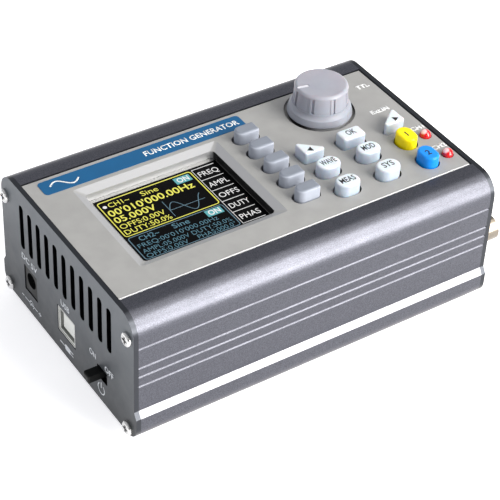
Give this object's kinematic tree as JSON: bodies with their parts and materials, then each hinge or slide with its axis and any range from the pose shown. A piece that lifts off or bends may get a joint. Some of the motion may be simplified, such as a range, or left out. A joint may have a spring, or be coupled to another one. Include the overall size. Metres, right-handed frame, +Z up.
{
  "type": "function generator",
  "caption": "Bench function generator in a grooved metal case: sloped-shoulder panel with recessed display, keys, encoder knob, and sockets on both ends.",
  "frame": {"origin": "centre of the plane the four feet stand on, midway between the end plates", "axes": "+Z up, -Y towards the user, +X along the case towards the signal sockets"},
  "size_m": [0.1655, 0.095, 0.0671],
  "materials": {
    "anodised_case": "satin, blue-grey anodised",
    "panel_grey": "fine texture",
    "banner_blue": "smooth film",
    "plate_paint": "fine grain",
    "screw_steel": "bright",
    "foot_rubber": "matte",
    "screen_glass": "smooth film over the display",
    "bright_steel": "tinned",
    "dark_plastic": "fine texture",
    "knob_grey": "satin",
    "lamp_red": "diffused lens",
    "board_green": "solder mask",
    "can_aluminium": "bright",
    "cable_grey": "smooth",
    "ivory_plastic": "smooth",
    "nickel": "nickel plated",
    "contact_brass": "gold flashed",
    "soft_key_grey": "satin",
    "clear_white": "translucent",
    "key_yellow": "satin",
    "key_blue": "satin"
  },
  "bodies": {
    "instrument": {"case_extrusion": "anodised_case", "control_panel": "panel_grey", "banner_label": "banner_blue", "left_end_plate": "plate_paint", "right_end_plate": "plate_paint", "left_plate_screws": "screw_steel", "right_plate_screws": "screw_steel", "rubber_feet": "foot_rubber", "lcd_glass": "screen_glass", "lcd_frame": "bright_steel", "lcd_backlight": "dark_plastic", "lcd_pads": "foot_rubber", "encoder_body": "bright_steel", "channel_1_led": "lamp_red", "channel_2_led": "lamp_red", "led_legs": "bright_steel", "key_board": "board_green", "key_switch_bodies": "bright_steel", "key_switch_plungers": "dark_plastic", "panel_screws": "screw_steel", "main_board": "board_green", "board_chips": "dark_plastic", "board_capacitors": "can_aluminium", "shield_can": "bright_steel", "ribbon_cable": "cable_grey", "ribbon_sockets": "dark_plastic", "dc_jack": "dark_plastic", "dc_jack_pin": "bright_steel", "usb_socket_shell": "bright_steel", "usb_socket_insert": "ivory_plastic", "power_switch_body": "bright_steel", "external_input_bnc": "nickel", "channel_1_bnc": "nickel", "channel_2_bnc": "nickel", "bnc_insulators": "ivory_plastic", "bnc_contacts": "contact_brass", "bnc_washers": "nickel", "bnc_nuts": "nickel", "bnc_housings": "dark_plastic", "ttl_header": "dark_plastic", "ttl_pins": "contact_brass"},
    "soft_key_1": {"soft_key_1": "soft_key_grey"},
    "soft_key_2": {"soft_key_2": "soft_key_grey"},
    "soft_key_3": {"soft_key_3": "soft_key_grey"},
    "soft_key_4": {"soft_key_4": "soft_key_grey"},
    "soft_key_5": {"soft_key_5": "soft_key_grey"},
    "wave_key": {"wave_key": "clear_white"},
    "mod_key": {"mod_key": "clear_white"},
    "meas_key": {"meas_key": "clear_white"},
    "sys_key": {"sys_key": "clear_white"},
    "ok_key": {"ok_key": "clear_white"},
    "left_arrow_key": {"left_arrow_key": "clear_white"},
    "right_arrow_key": {"right_arrow_key": "clear_white"},
    "channel_1_key": {"channel_1_key": "key_yellow"},
    "channel_2_key": {"channel_2_key": "key_blue"},
    "knob": {"encoder_knob": "knob_grey", "encoder_shaft": "bright_steel"},
    "switch_lever": {"power_switch_lever": "dark_plastic"}
  },
  "joints": [
    {"name": "soft_key_1_press", "type": "slide", "parent": "instrument", "child": "soft_key_1", "axis": [0, 0, -1], "range_m": [0, 0.0005], "stiffness_N_per_m": 1500, "springref_m": -0.0003},
    {"name": "soft_key_2_press", "type": "slide", "parent": "instrument", "child": "soft_key_2", "axis": [0, 0, -1], "range_m": [0, 0.0005], "stiffness_N_per_m": 1500, "springref_m": -0.0003},
    {"name": "soft_key_3_press", "type": "slide", "parent": "instrument", "child": "soft_key_3", "axis": [0, 0, -1], "range_m": [0, 0.0005], "stiffness_N_per_m": 1500, "springref_m": -0.0003},
    {"name": "soft_key_4_press", "type": "slide", "parent": "instrument", "child": "soft_key_4", "axis": [0, 0, -1], "range_m": [0, 0.0005], "stiffness_N_per_m": 1500, "springref_m": -0.0003},
    {"name": "soft_key_5_press", "type": "slide", "parent": "instrument", "child": "soft_key_5", "axis": [0, 0, -1], "range_m": [0, 0.0005], "stiffness_N_per_m": 1500, "springref_m": -0.0003},
    {"name": "wave_key_press", "type": "slide", "parent": "instrument", "child": "wave_key", "axis": [0, 0, -1], "range_m": [0, 0.0005], "stiffness_N_per_m": 1500, "springref_m": -0.0003},
    {"name": "mod_key_press", "type": "slide", "parent": "instrument", "child": "mod_key", "axis": [0, 0, -1], "range_m": [0, 0.0005], "stiffness_N_per_m": 1500, "springref_m": -0.0003},
    {"name": "meas_key_press", "type": "slide", "parent": "instrument", "child": "meas_key", "axis": [0, 0, -1], "range_m": [0, 0.0005], "stiffness_N_per_m": 1500, "springref_m": -0.0003},
    {"name": "sys_key_press", "type": "slide", "parent": "instrument", "child": "sys_key", "axis": [0, 0, -1], "range_m": [0, 0.0005], "stiffness_N_per_m": 1500, "springref_m": -0.0003},
    {"name": "ok_key_press", "type": "slide", "parent": "instrument", "child": "ok_key", "axis": [0, 0, -1], "range_m": [0, 0.0005], "stiffness_N_per_m": 1500, "springref_m": -0.0003},
    {"name": "left_arrow_key_press", "type": "slide", "parent": "instrument", "child": "left_arrow_key", "axis": [0, 0, -1], "range_m": [0, 0.0005], "stiffness_N_per_m": 1500, "springref_m": -0.0003},
    {"name": "right_arrow_key_press", "type": "slide", "parent": "instrument", "child": "right_arrow_key", "axis": [0, 0, -1], "range_m": [0, 0.0005], "stiffness_N_per_m": 1500, "springref_m": -0.0003},
    {"name": "channel_1_key_press", "type": "slide", "parent": "instrument", "child": "channel_1_key", "axis": [0, 0, -1], "range_m": [0, 0.0005], "stiffness_N_per_m": 1500, "springref_m": -0.0003},
    {"name": "channel_2_key_press", "type": "slide", "parent": "instrument", "child": "channel_2_key", "axis": [0, 0, -1], "range_m": [0, 0.0005], "stiffness_N_per_m": 1500, "springref_m": -0.0003},
    {"name": "knob_turn", "type": "hinge", "parent": "instrument", "child": "knob", "pos_m": [0.0428, 0.0195, 0.06], "axis": [0, 0, 1], "continuous": true},
    {"name": "power_slide", "type": "slide", "parent": "instrument", "child": "switch_lever", "axis": [0, -1, 0], "range_m": [0, 0.0028]}
  ]
}
